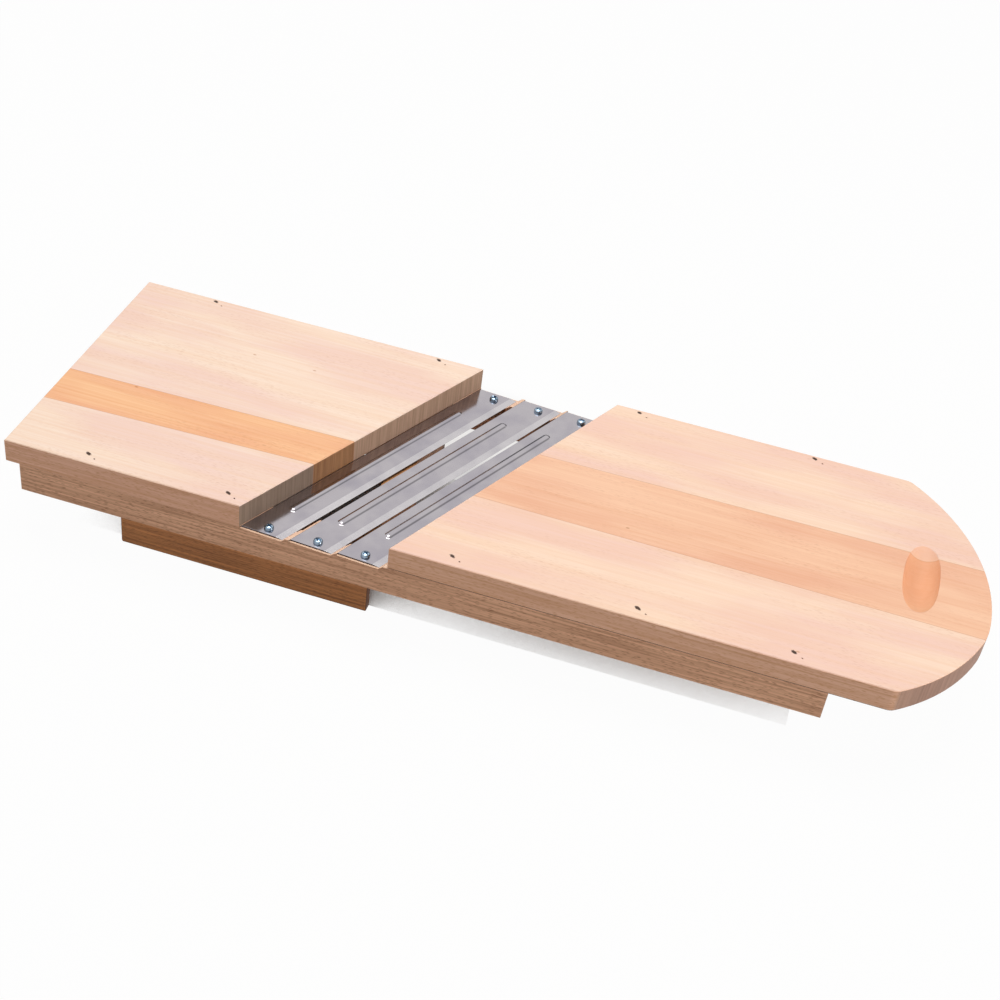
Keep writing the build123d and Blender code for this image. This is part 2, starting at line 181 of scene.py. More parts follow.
@dataclass(frozen=True)
class Beech:
    """Steamed European beech, sawn, planed and sanded, and left bare.

    Sanding leaves a matt face whose growth rings are soft bands along the board, dotted
    with the short brown dashes of the rays and a few dark specks. Faces cut across the
    grain are browner and streaked from top to bottom. Lengths are millimetres, and the
    relief is how far it shows and its depth.
    """

    name: str
    pale: str
    blush: str
    late_wood: str
    fleck: str
    # The narrow sides' colour: deeper than the face, partly painted shade, as these upright faces
    # get less light.
    side: str
    cross_cut: str
    cross_dark: str
    pith: tuple[float, float] = (20.0, -90.0)
    ring: float = 3.2
    shift: Point = (0.0, 0.0, 0.0)
    grain_turn: float = 0.0
    ring_strength: float = 0.14
    fleck_strength: float = 0.3
    side_fleck: float = 0.85
    speck_share: float = 0.12
    seams: tuple[tuple[float, float], ...] = ()
    seam_reach: float = 0.3
    seam_share: float = 0.4
    # The staples' pits: dark marks of torn wood, darkened further as painted shade of the open
    # holes.
    torn_shaded_pits: tuple[Point, ...] = ()
    pit_mark_size: tuple[float, float] = (2.3, 1.35)
    # The scoop: a darker, more orange tint inside the hollow, which is painted shade.
    hollow: str = ""
    hollow_shade_middle: float = 73.2
    hollow_shade_reach: float = 4.0
    hollow_shade_share: float = 0.5
    # A painted shadow: a dark line along the thin gap where the board sits on the rail.
    gap_shade_height: float = 0.0
    gap_shade_reach: float = 0.6
    relief: tuple[float, float] = (0.35, 0.06)

    def material(self) -> Material:
        """Builds the finish.

        Returns:
            The wood's material.
        """
        material, tree = new_material(self.name)
        place = add(tree, "ShaderNodeTexCoord", out="Object")
        turn = (0, 0, math.radians(self.grain_turn))
        shift = [MM * value for value in self.shift]
        turned = add(tree, MAPPING, {"Vector": place, "Location": shift, "Rotation": turn})
        facing = self.directions(tree, place.node.outputs["Normal"], turn)
        colour, fleck, fibre = self.long_grain(tree, turned, facing[0])
        streak = stretched_noise(tree, turned, (90, 900, 22), 3.0)
        streak = add(tree, RANGE, {"Value": streak, "From Min": 0.3, "From Max": 0.74})
        end_grain = add(tree, MIX, {0: streak, 6: self.cross_cut, 7: self.cross_dark}, **COLOURS)
        colour = add(tree, MIX, {0: facing[1], 6: colour, 7: end_grain}, **COLOURS)
        colour = self.dark_marks(tree, place, facing, colour)
        rough = add(tree, RANGE, {"Value": fibre, "To Min": 0.5, "To Max": 0.68})
        relief = add(tree, MATH, {0: fibre, 1: fleck}, operation="SUBTRACT")
        looks = {"Base Color": colour, "Roughness": rough, "IOR": 1.45}
        end_surface(tree, relief, self.relief, looks)
        return material

    def directions(self, tree: Tree, normal: Socket, turn: Point) -> tuple[Socket, Socket]:
        """Tells the boards' narrow sides and the faces that are cut across the grain.

        Args:
            tree: The material's tree.
            normal: The way each face looks.
            turn: The turn that lays the grain along X.

        Returns:
            How far a face is a narrow side, and how far it is cut across.
        """
        turned = {"Vector": normal, "Rotation": turn}
        facing = add(tree, MAPPING, turned, vector_type="VECTOR")
        facing = add(tree, "ShaderNodeVectorMath", {0: facing}, operation="ABSOLUTE")
        axes = add(tree, SEPARATE, {0: facing}).node.outputs
        endways, sideways, upright = (
            add(tree, RANGE, {"Value": axis, "From Min": start, "From Max": stop}, **SMOOTH)
            for axis, (start, stop) in zip(axes, ((0.3, 0.75), (0.6, 0.95), (0.45, 0.12)))
        )
        crossed = add(tree, MATH, {0: endways, 1: upright}, operation="MULTIPLY")
        return sideways, crossed

    def long_grain(
        self, tree: Tree, turned: Socket, edgewise: Socket
    ) -> tuple[Socket, Socket, Socket]:
        """Draws the wood as it looks along the grain.

        Args:
            tree: The material's tree.
            turned: The place on the piece, turned along the grain.
            edgewise: How far a face is a narrow side, whose deeper colour is partly painted shade.

        Returns:
            The colour, the flecks and the fibres.
        """
        cloud = stretched_noise(tree, turned, (9, 34, 34), 3.0)
        blush = add(tree, RANGE, {"Value": cloud, "From Min": 0.4, "From Max": 0.62})
        base = add(tree, MIX, {0: blush, 6: self.pale, 7: self.blush}, **COLOURS)
        # Narrow sides take the side colour, which is partly painted shade of those upright faces.
        base = add(tree, MIX, {0: edgewise, 6: base, 7: self.side}, **COLOURS)
        middle = (0, -MM * self.pith[0], -MM * self.pith[1])
        heart = add(tree, MAPPING, {"Vector": turned, "Location": middle})
        # At a scale of one, the wave texture's rings are tau / 20 apart.
        trunk = {
            "Vector": add(tree, MAPPING, {"Vector": heart, "Scale": (0.12, 1, 1)}),
            "Scale": math.tau / (20 * MM * self.ring),
            "Distortion": 2.6,
            "Detail": 3.0,
            "Detail Scale": 0.35,
            "Detail Roughness": 0.6,
        }
        wave = {"wave_type": "RINGS", "rings_direction": "X", "wave_profile": "SAW"}
        rings = add(tree, "ShaderNodeTexWave", trunk, "Fac", **wave)
        fibre = stretched_noise(tree, turned, (14, 620, 620), 4.0)
        late = add(tree, MATH, {0: rings, 1: 2.2}, operation="POWER")
        late = add(tree, MATH, {0: late, 1: self.ring_strength}, operation="MULTIPLY")
        limits = {"Value": fibre, "From Min": 0.35, "From Max": 0.7, "To Max": 0.34}
        streak = add(tree, RANGE, limits)
        darkness = add(tree, MATH, {0: late, 1: streak}, operation="ADD")
        rise = add(tree, MATH, {0: edgewise, 1: 0.8, 2: 1.0}, operation="MULTIPLY_ADD")
        darkness = add(tree, MATH, {0: darkness, 1: rise}, operation="MULTIPLY")
        deep = add(tree, MIX, {0: edgewise, 6: self.late_wood, 7: self.fleck}, **COLOURS)
        wood = add(tree, MIX, {0: darkness, 6: base, 7: deep}, **COLOURS)
        fleck = self.ray_flecks(tree, turned, edgewise)
        wood = add(tree, MIX, {0: fleck, 6: wood, 7: self.fleck}, **COLOURS)
        return wood, fleck, fibre

    def ray_flecks(self, tree: Tree, turned: Socket, edgewise: Socket) -> Socket:
        """Draws the rays' dashes, about 3 mm by 0.5 mm, and a few dark specks among them.

        The dashes of real beech are half as wide, too fine to show here. They stand closer
        and darker on the narrow sides.

        Args:
            tree: The material's tree.
            turned: The place on the piece, turned along the grain.
            edgewise: How far a face is a narrow side.

        Returns:
            How much of the flecks' colour each place takes.
        """
        cells = add(tree, MAPPING, {"Vector": turned, "Scale": (200, 1250, 1250)})
        near = add(tree, "ShaderNodeTexVoronoi", {"Vector": cells, "Scale": 1.0}, "Distance")
        dash = add(tree, RANGE, {"Value": near, "From Min": 0.4, "From Max": 0.12}, **SMOOTH)
        crowd = stretched_noise(tree, turned, (16, 90, 90), 2.0)
        limits = {"Value": crowd, "From Min": 0.4, "From Max": 0.66, "To Max": self.fleck_strength}
        crowd = add(tree, RANGE, limits)
        strengths = {0: edgewise, 2: crowd, 3: self.side_fleck}
        strength = add(tree, MIX, strengths, data_type="FLOAT")
        dash = add(tree, MATH, {0: dash, 1: strength}, operation="MULTIPLY")
        spaced = add(tree, MAPPING, {"Vector": turned, "Scale": (26, 52, 30)})
        dots = {"Vector": spaced, "Scale": 1.0}
        spot = add(tree, "ShaderNodeTexVoronoi", dots, "Distance", voronoi_dimensions="2D")
        chance = spot.node.outputs["Color"]
        chosen = add(tree, MATH, {0: chance, 1: self.speck_share}, operation="LESS_THAN")
        limits = {"Value": spot, "From Min": 0.04, "From Max": 0.018, "To Max": 0.7}
        speck = add(tree, RANGE, limits)
        speck = add(tree, MATH, {0: speck, 1: chosen}, operation="MULTIPLY")
        return add(tree, MATH, {0: dash, 1: speck}, operation="MAXIMUM")

    def dark_marks(
        self, tree: Tree, place: Socket, facing: tuple[Socket, Socket], wood: Socket
    ) -> Socket:
        """Marks the glued seams and the pits' torn wood, and paints shade under the board, in the
        scoop and in the pits.

        Args:
            tree: The material's tree.
            place: The place on the piece.
            facing: How far a face is a narrow side, and how far it is cut across.
            wood: The colour without these marks.

        Returns:
            The colour with them.
        """
        x, y, z = add(tree, SEPARATE, {0: place}).node.outputs
        for start, slope in self.seams:
            level = add(tree, MATH, {0: x, 1: slope, 2: MM * start}, operation="MULTIPLY_ADD")
            near = add(tree, MATH, {0: y, 1: level, 2: MM * self.seam_reach}, operation="COMPARE")
            near = add(tree, MATH, {0: near, 1: self.seam_share}, operation="MULTIPLY")
            wood = add(tree, MIX, {0: near, 6: wood, 7: self.fleck}, **COLOURS)
        # Painted shadow of the gap between board and rail: a dark line on the narrow sides.
        if self.gap_shade_height:
            line = {0: z, 1: MM * self.gap_shade_height, 2: MM * self.gap_shade_reach}
            near = add(tree, MATH, line, operation="COMPARE")
            near = add(tree, MATH, {0: near, 1: facing[0]}, operation="MULTIPLY")
            wood = add(tree, MIX, {0: near, 6: wood, 7: "#3a2415"}, **COLOURS)
        # Painted shade inside the scoop: the hollow's faces take a darker, more orange tint.
        if self.hollow:
            band = {0: z, 1: MM * self.hollow_shade_middle, 2: MM * self.hollow_shade_reach}
            near = add(tree, MATH, band, operation="COMPARE")
            for face in facing:
                near = add(tree, MATH, {0: near, 1: face}, operation="SUBTRACT", use_clamp=True)
            near = add(tree, MATH, {0: near, 1: self.hollow_shade_share}, operation="MULTIPLY")
            wood = add(tree, MIX, {0: near, 6: wood, 7: self.hollow}, **COLOURS)
        ragged = add(tree, "ShaderNodeTexNoise", {"Vector": place, "Scale": 700.0}, "Fac")
        # Each pit gets a ragged dark mark: torn wood, and painted shade of the hole.
        for east, north, turn in self.torn_shaded_pits:
            pit = {
                "Vector": place,
                "Location": (MM * east, MM * north, 0),
                "Rotation": (0, 0, math.radians(turn)),
                "Scale": (MM * self.pit_mark_size[0], MM * self.pit_mark_size[1], 1),
            }
            spot = add(tree, MAPPING, pit, vector_type="TEXTURE")
            apart = add(tree, "ShaderNodeVectorMath", {0: spot}, "Value", operation="LENGTH")
            apart = add(tree, MATH, {0: apart, 1: ragged}, operation="ADD")
            pit_mark = add(tree, RANGE, {"Value": apart, "From Min": 1.5, "From Max": 1.15})
            wood = add(tree, MIX, {0: pit_mark, 6: wood, 7: "#40281a"}, **COLOURS)
        return wood


@dataclass(frozen=True)
class Steel:
    """Bare or plated steel.

    The tool or bath that made the surface leaves fine lines along one direction, which blur
    reflections the other way, and faint clouds of a second shade. Its relief is given as
    how far it shows and its depth in millimetres.
    """

    name: str
    colour: str
    shade: str
    roughness: float
    lines_turn: float = 0.0
    lines: Point = (900.0, 12.0, 900.0)
    relief: tuple[float, float] = (0.2, 0.01)

    def material(self) -> Material:
        """Builds the finish.

        Returns:
            The metal's material.
        """
        material, tree = new_material(self.name)
        place = add(tree, "ShaderNodeTexCoord", out="Object")
        turn = (0, 0, math.radians(self.lines_turn))
        turned = add(tree, MAPPING, {"Vector": place, "Rotation": turn})
        lines = stretched_noise(tree, turned, self.lines, 3.0)
        cloud = add(tree, "ShaderNodeTexNoise", {"Vector": turned, "Scale": 60.0}, "Fac")
        stain = add(tree, RANGE, {"Value": cloud, "From Min": 0.4, "From Max": 0.75})
        colour = add(tree, MIX, {0: stain, 6: self.colour, 7: self.shade}, **COLOURS)
        low, high = self.roughness * 0.7, self.roughness * 1.3
        rough = add(tree, RANGE, {"Value": lines, "To Min": low, "To Max": high})
        looks = {"Base Color": colour, "Metallic": 1.0, "Roughness": rough}
        end_surface(tree, lines, self.relief, looks)
        return material


def finished_piece(
    name: str, mesh: Mesh, body: Body, replaced: tuple[str, ...]
) -> None:
    """Puts a finished mesh in the scene, on its body, and hides the nodes that it stands for.

    Args:
        name: The piece's name.
        mesh: Its mesh, in place, in metres.
        body: The body that it moves with.
        replaced: The nodes that it stands for.
    """
    piece = bpy.data.objects.new(name, mesh)
    bpy.context.scene.collection.objects.link(piece)
    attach(piece, body.value)
    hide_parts(*replaced)
    LOG.info("%s: %d faces, with %s", name, len(mesh.polygons), body.value)


class FastenerTree:
    """A Geometry Nodes tree that sets one small shaped piece on each of a mesh's points.

    Every point says which way its piece looks, in its attribute "off", and which way it
    lies, in its attribute "along". Sizes inside the tree are millimetres. An edge is drawn
    sharp where its faces meet at more than the crease, in degrees.
    """

    crease: float = 32.0

    def __init__(self, name: str, sizes: dict[str, float | int], finish: Material) -> None:
        """Starts the tree with its named inputs.

        Args:
            name: The tree's name.
            sizes: The inputs' names and values.
            finish: The pieces' material.
        """
        self.name = name
        self.tree = bpy.data.node_groups.new(name, "GeometryNodeTree")
        new_socket = self.tree.interface.new_socket
        new_socket("Points", in_out="INPUT", socket_type="NodeSocketGeometry")
        self.values = {}
        kinds = {int: "NodeSocketInt", float: "NodeSocketFloat"}
        for key, value in {**sizes, "Finish": finish}.items():
            kind = kinds.get(type(value), "NodeSocketMaterial")
            self.values[new_socket(key, in_out="INPUT", socket_type=kind).identifier] = value
        new_socket("Pieces", in_out="OUTPUT", socket_type="NodeSocketGeometry")
        self.given = self.tree.nodes.new("NodeGroupInput").outputs

    def add(
        self, kind: str, inputs: dict | None = None, out: int | str = 0, **settings: object
    ) -> Socket:
        """Adds a node to this tree, as the function of the same name does."""
        return add(self.tree, kind, inputs, out, **settings)

    def shaped_by(self, share: Socket, points: list[tuple[float, float]]) -> Socket:
        """Reads a value off a broken line.

        Args:
            share: Where on the line, from zero to one.
            points: The line's corners, both numbers from zero to one.

        Returns:
            The value there.
        """
        value = self.add("ShaderNodeFloatCurve", {"Value": share})
        curve = value.node.mapping.curves[0]
        curve.points[0].location, curve.points[1].location = points[0], points[-1]
        for place, level in points[1:-1]:
            curve.points.new(place, level)
        for point in curve.points:
            point.handle_type = "VECTOR"
        value.node.mapping.update()
        return value

    def set_out(self, shape: Socket, spin: float = 0.0) -> None:
        """Sets the shape on the points and ends the tree.

        Args:
            shape: One piece at the origin, looking along Z.
            spin: How far each piece may be turned at random about Z, in radians.
        """
        off, along = (
            self.add("GeometryNodeInputNamedAttribute", {"Name": name}, data_type="FLOAT_VECTOR")
            for name in ("off", "along")
        )
        axes = {"Primary Axis": off, "Secondary Axis": along}
        stance = self.add("FunctionNodeAxesToRotation", axes, primary_axis="Z", secondary_axis="X")
        limits = {2: 0.0, 3: spin, "Seed": self.given["Seed"]}
        chance = self.add("FunctionNodeRandomValue", limits, 1)
        turn = self.add("FunctionNodeAxisAngleToRotation", {"Axis": (0, 0, 1), "Angle": chance})
        turns = {"Rotation": stance, "Rotate By": turn}
        stance = self.add("FunctionNodeRotateRotation", turns, rotation_space="LOCAL")
        points = {"Points": self.given["Points"], "Rotation": stance, "Scale": (MM, MM, MM)}
        pieces = self.add("GeometryNodeInstanceOnPoints", {**points, "Instance": shape})
        pieces = self.add("GeometryNodeRealizeInstances", {0: pieces})
        dressed = {"Geometry": pieces, "Material": self.given["Finish"]}
        self.add("NodeGroupOutput", {0: self.add("GeometryNodeSetMaterial", dressed)})

    def plain_mesh(self, stands: list[Matrix]) -> Mesh:
        """Runs the tree on its points and keeps the result.

        Args:
            stands: Where each piece is, in millimetres: X along it and Z the way it looks.

        Returns:
            The pieces as one plain mesh.
        """
        points = bpy.data.meshes.new(self.name + "_points")
        points.from_pydata([MM * stand.translation for stand in stands], [], [])
        for name, column in (("off", 2), ("along", 0)):
            values = [number for stand in stands for number in stand.to_3x3().col[column]]
            ways = points.attributes.new(name, "FLOAT_VECTOR", "POINT")
            ways.data.foreach_set("vector", values)
        carrier = bpy.data.objects.new(self.name + "_points", points)
        bpy.context.scene.collection.objects.link(carrier)
        modifier = carrier.modifiers.new("pieces", "NODES")
        modifier.node_group = self.tree
        for identifier, value in self.values.items():
            modifier[identifier] = value
        ready = carrier.evaluated_get(bpy.context.evaluated_depsgraph_get())
        mesh = bpy.data.meshes.new_from_object(ready)
        carrier.modifiers.remove(modifier)
        bpy.data.objects.remove(carrier)
        mesh.name = self.name
        for name in ("off", "along"):
            if name in mesh.attributes:
                mesh.attributes.remove(mesh.attributes[name])
        mesh.polygons.foreach_set("use_smooth", [True] * len(mesh.polygons))
        mesh.set_sharp_from_angle(angle=math.radians(self.crease))
        return mesh


@dataclass
class Slicer:
    """The body's sizes that its pieces share, in millimetres."""

    left_end: float = -300.5
    half_width: float = 100.0
    board_front_length: float = 155.1
    slant_run: float = 92.5
    rail_top: float = 61.5
    board_thickness: float = 16.0
    blade_starts: tuple[float, ...] = (0.3, 32.0, 62.4)
    blade_width: float = 24.1
    blade_drop: float = 1.6

    @property
    def slant(self) -> float:
        """The blades' turn from straight across."""
        return math.atan2(self.slant_run, 2 * self.half_width)

    @property
    def tilt(self) -> float:
        """The blades' slope down to their edges."""
        return math.atan2(self.blade_drop, self.blade_width)

    def blade_place(self, start: float) -> Matrix:
        """Gives a blade's own frame.

        Args:
            start: How far to the right of the left board's cut the blade begins.

        Returns:
            The turn and place, with X to the cutting edge, Y along it and Z off its face.
        """
        sine, cosine = math.sin(self.slant), math.cos(self.slant)
        level, down = Vector((cosine, -sine, 0)), Vector((0, 0, math.sin(self.tilt)))
        across = level * math.cos(self.tilt) - down
        along = Vector((sine, cosine, 0))
        frame = Matrix((across, along, across.cross(along))).transposed().to_4x4()
        middle = self.left_end + self.board_front_length + start + self.slant_run / 2
        frame.translation = (middle, 0, self.rail_top)
        return frame

    def along_blade(self, across: float, y: float) -> float:
        """Gives the place along a blade of a point across it that lies at y in the slicer."""
        run = across * math.cos(self.tilt) * math.sin(self.slant)
        return (y + run) / math.cos(self.slant)


@dataclass
class Blades:
    """The three stamped blades, each a sheet with a pressed bead and a ground bevel."""

    slicer: Slicer
    thickness: float = 1.0
    end_inset: float = 1.3
    bevel: float = 4.0
    edge_land: float = 0.12
    burr: float = 0.12
    burr_drop: float = 0.8
    bead_offset: float = 8.9
    bead_width: float = 5.0
    bead_rise: float = 1.1
    bead_front: float = 26.8
    bead_back: float = 168.0
    bead_fullness: float = 2.5
    hollow_depth: float = 0.9
    hollow_width: float = 0.75
    foot_blend: float = 0.5
    crease: float = 12.0
    finishes: list[Material] = field(default_factory=list)

    def build(self) -> None:
        """Makes and places the three blades."""
        for number, start in enumerate(self.slicer.blade_starts, start=1):
            mesh = self.sheet(f"blade_{number}_sheet")
            mesh.transform(Matrix.Scale(MM, 4) @ self.slicer.blade_place(start))
            finished_piece(mesh.name, mesh, Body.SLICER, (f"blade_{number}",))

    def sheet(self, name: str) -> Mesh:
        """Makes one blade in its own frame, in millimetres.

        Args:
            name: The mesh's name.

        Returns:
            The closed sheet.
        """
        columns = self.columns()
        grid = [[(u, v) for v in self.rows(u)] for u in columns]
        last_u, last_v = len(grid) - 1, len(grid[0]) - 1
        ends = (0, last_v)
        build = bmesh.new()
        top = [
            [build.verts.new((u, v, self.top(u, v, j in ends))) for j, (u, v) in enumerate(line)]
            for line in grid
        ]
        low = [[build.verts.new((u, v, self.underside(u, v))) for u, v in line] for line in grid]
        for i in range(last_u):
            ground = columns[i] >= self.slicer.blade_width - self.bevel
            for j in range(last_v):
                corners = ((i, j), (i + 1, j), (i + 1, j + 1), (i, j + 1))
                face = build.faces.new([top[a][b] for a, b in corners])
                face.material_index = int(ground)
                build.faces.new([low[a][b] for a, b in reversed(corners)])
        rim = [(i, 0) for i in range(last_u)] + [(last_u, j) for j in range(last_v)]
        rim += [(i, last_v) for i in range(last_u, 0, -1)] + [(0, j) for j in range(last_v, 0, -1)]
        for (a, b), (c, d) in zip(rim, rim[1:] + rim[:1]):
            face = build.faces.new([low[a][b], low[c][d], top[c][d], top[a][b]])
            # The two ends take the third finish: dull sheared steel, painted dark as shade of the
            # gap at the ends.
            face.material_index = 2 * (a != c)
        for face in build.faces:
            face.smooth = True
        mesh = bpy.data.meshes.new(name)
        build.to_mesh(mesh)
        build.free()
        mesh.set_sharp_from_angle(angle=math.radians(self.crease))
        for finish in self.finishes:
            mesh.materials.append(finish)
        return mesh

    def columns(self) -> list[float]:
        """Sets out the sheet across, closest over the bead.

        Returns:
            The distances from the back edge.
        """
        reach = self.bead_width / 2 + 1.0
        fine = [self.bead_offset - reach + reach * 2 * k / 28 for k in range(29)]
        bevel_start = self.slicer.blade_width - self.bevel
        ground = [bevel_start + self.bevel * k / 4 for k in range(5)]
        return [0.0, self.burr, 1.0, 2.5, 4.0] + fine + [14.0, 16.0, 18.0] + ground

    def along(self, u: float, y: float) -> float:
        """Gives the place along the blade, at u across it, that is y from the front side."""
        return self.slicer.along_blade(u, y - self.slicer.half_width)

    def rows(self, u: float) -> list[float]:
        """Sets out the sheet along, closest over the bead's two ends.

        Args:
            u: Distance across the blade.

        Returns:
            The distances along it.
        """
        front = self.along(u, self.end_inset)
        back = self.slicer.along_blade(u, self.slicer.half_width - self.end_inset)
        first = self.along(self.bead_offset, self.bead_front) - 1.0
        final = self.along(self.bead_offset, self.bead_back) + 1.0
        fine = 4.0
        lead_in = [front + (first - front) * k / 6 for k in range(1, 6)]
        near = [first + fine * k / 20 for k in range(20)]
        middle = [first + fine + (final - first - 2 * fine) * k / 40 for k in range(40)]
        far = [final - fine + fine * k / 20 for k in range(21)]
        lead_out = [final + (back - final) * k / 6 for k in range(1, 6)]
        inner = lead_in + near + middle + far + lead_out
        return [front, front + self.burr] + inner + [back - self.burr, back]

    def bead_height(self, u: float, v: float, narrow: float = 1.0) -> float:
        """Gives how far the bead stands out of the sheet at one point.

        Args:
            u: Distance across the blade.
            v: Distance along it.
            narrow: How much narrower than the bead's outside.

        Returns:
            The height, blended into the flat at its foot.
        """
        half = self.bead_width / 2
        first = self.along(self.bead_offset, self.bead_front) + half
        final = self.along(self.bead_offset, self.bead_back) - half
        apart = math.hypot(u - self.bead_offset, max(first - v, v - final, 0.0))
        rise = self.bead_rise * (1 - (apart / (half * narrow)) ** self.bead_fullness)
        blend = max(self.foot_blend - abs(rise), 0.0) / self.foot_blend
        return max(rise, 0.0) + blend * blend * self.foot_blend / 4

    def top(self, u: float, v: float, at_end: bool) -> float:
        """Gives the height of the upper face, with the ground bevel and broken edges.

        Args:
            u: Distance across the blade.
            v: Distance along it.
            at_end: Whether the point is on one of the blade's two ends.

        Returns:
            The height.
        """
        ground = max(u - self.slicer.blade_width + self.bevel, 0.0) / self.bevel
        height = self.bead_height(u, v) - ground * (self.thickness - self.edge_land)
        outermost = u == 0.0 or at_end
        return height - self.burr * self.burr_drop * (outermost and ground == 0)

    def underside(self, u: float, v: float) -> float:
        """Gives the height of the lower face, hollow under the bead."""
        return -self.thickness + self.hollow_depth * self.bead_height(u, v, self.hollow_width)


@dataclass
class Screws:
    """The blades' six pan-head screws, with a cross recess and a coarse wood thread."""

    slicer: Slicer
    finish: Material
    front: tuple[float, float] = (12.3, 6.4)
    back: tuple[float, float] = (13.8, 8.0)
    head_radius: float = 2.98
    head_height: float = 2.6
    length: float = 12.0
    sides: int = 40
    rows: int = 33
    outline: tuple[tuple[float, float], ...] = (
        (0.0, 2.6), (0.5, 2.58), (1.0, 2.52), (1.5, 2.41), (1.9, 2.27), (2.25, 2.08), (2.55, 1.82),
        (2.77, 1.5), (2.9, 1.15), (2.96, 0.75), (2.98, 0.4), (2.98, 0.12), (2.9, 0.0), (1.45, 0.0),
        (1.4, -0.5), (1.1, -1.0), (1.1, -9.0), (0.2, -11.7), (0.0, -12.0),
    )
    recess_top: float = 3.0
    recess_bottom: float = 1.0
    recess_radii: tuple[float, float] = (2.9, 1.2)
    recess_slenderness: float = 0.34
    thread_pitch: float = 1.2
    thread_radius: float = 1.2
    thread_ridge: float = 0.26
    thread_tip: float = 2.6
    bare_shank: float = 4.0

    def build(self) -> None:
        """Makes the screws and puts one on each end of every blade."""
        sizes = {
            "Head Radius": self.head_radius,
            "Length": self.length,
            "Whole Height": self.length + self.head_height,
            "Sides": self.sides,
            "Recess Top": self.recess_top,
            "Recess Bottom": self.recess_bottom,
            "Recess Slenderness": self.recess_slenderness,
            "Thread Radius": self.thread_radius,
            "Thread Turns": (self.length - self.bare_shank) / self.thread_pitch,
            "Seed": 7,
        }
        tree = FastenerTree("pan_head_screws", sizes, self.finish)
        bar, crossing = self.recess(tree)
        cut = tree.add(
            "GeometryNodeMeshBoolean",
            {"Mesh 1": self.turned_body(tree), "Mesh 2": bar},
            operation="DIFFERENCE",
            solver="EXACT",
        )
        tree.tree.links.new(crossing, cut.node.inputs["Mesh 2"])
        whole = tree.add("GeometryNodeJoinGeometry", {0: cut})
        tree.tree.links.new(self.thread(tree), whole.node.inputs[0])
        tree.set_out(whole, spin=math.tau)
        mesh = tree.plain_mesh(self.stands())
        nodes = tuple(f"blade_{number}_screws" for number in (1, 2, 3))
        finished_piece("cross_recess_screws", mesh, Body.SLICER, nodes)

    def stands(self) -> list[Matrix]:
        """Finds each screw's place on its blade, standing square on the sheet.

        Returns:
            The places, blade by blade.
        """
        side = self.slicer.half_width
        spots = ((self.front[0], self.front[1] - side), (self.back[0], side - self.back[1]))
        return [
            self.slicer.blade_place(start)
            @ Matrix.Translation((across, self.slicer.along_blade(across, y), 0))
            for start in self.slicer.blade_starts
            for across, y in spots
        ]

    def turned_body(self, tree: FastenerTree) -> Socket:
        """Turns head and shank from one outline, as on a lathe.

        Args:
            tree: The screws' tree.

        Returns:
            The closed body.
        """
        columns = tree.add(MATH, {0: tree.given["Sides"], 1: 1}, operation="ADD")
        sizes = {"Size X": 1.0, "Size Y": 1.0, "Vertices X": columns, "Vertices Y": self.rows}
        sheet = tree.add("GeometryNodeMeshGrid", sizes)
        place = tree.add(SEPARATE, {0: tree.add("GeometryNodeInputPosition")}).node.outputs
        angle = tree.add(MATH, {0: place["X"], 1: math.tau}, operation="MULTIPLY")
        share = tree.add(MATH, {0: place["Y"], 1: 0.5}, operation="ADD")
        last = self.rows - 1
        steps = [k / last for k in range(len(self.outline))]
        steps[-3:] = [1 - 4 / last, 1 - 1 / last, 1.0]
        whole = self.length + self.head_height
        radii = [(step, r / self.head_radius) for step, (r, _) in zip(steps, self.outline)]
        levels = [(step, (h + self.length) / whole) for step, (_, h) in zip(steps, self.outline)]
        girth = {0: tree.shaped_by(share, radii), 1: tree.given["Head Radius"]}
        radius = tree.add(MATH, girth, operation="MULTIPLY")
        reach = {0: tree.shaped_by(share, levels), 1: tree.given["Whole Height"]}
        height = tree.add(MATH, reach, operation="MULTIPLY")
        height = tree.add(MATH, {0: height, 1: tree.given["Length"]}, operation="SUBTRACT")
        parts = (tree.add(MATH, {0: angle}, operation=way) for way in ("COSINE", "SINE"))
        east, north = (tree.add(MATH, {0: part, 1: radius}, operation="MULTIPLY") for part in parts)
        spot = tree.add(COMBINE, {0: east, 1: north, 2: height})
        body = tree.add("GeometryNodeSetPosition", {"Geometry": sheet, "Position": spot})
        body = tree.add("GeometryNodeMergeByDistance", {"Geometry": body, "Distance": 0.001})
        return tree.add("GeometryNodeFlipFaces", {"Mesh": body})

    def recess(self, tree: FastenerTree) -> tuple[Socket, Socket]:
        """Makes the driver's tip that sinks the cross: two crossed, tapered bars.

        Args:
            tree: The screws' tree.

        Returns:
            The two bars.
        """
        top, bottom = tree.given["Recess Top"], tree.given["Recess Bottom"]
        cone = {
            "Vertices": 4,
            "Radius Top": self.recess_radii[0],
            "Radius Bottom": self.recess_radii[1],
            "Depth": tree.add(MATH, {0: top, 1: bottom}, operation="SUBTRACT"),
        }
        bar = tree.add("GeometryNodeMeshCone", cone)
        eighth = math.radians(45)
        bar = tree.add(TRANSFORM, {"Geometry": bar, "Rotation": (0, 0, eighth)})
        slim = tree.add(COMBINE, {0: 1.0, 1: tree.given["Recess Slenderness"], 2: 1.0})
        lift = tree.add(COMBINE, {2: bottom})
        bar = tree.add(TRANSFORM, {"Geometry": bar, "Translation": lift, "Scale": slim})
        crossing = tree.add(TRANSFORM, {"Geometry": bar, "Rotation": (0, 0, 2 * eighth)})
        return bar, crossing

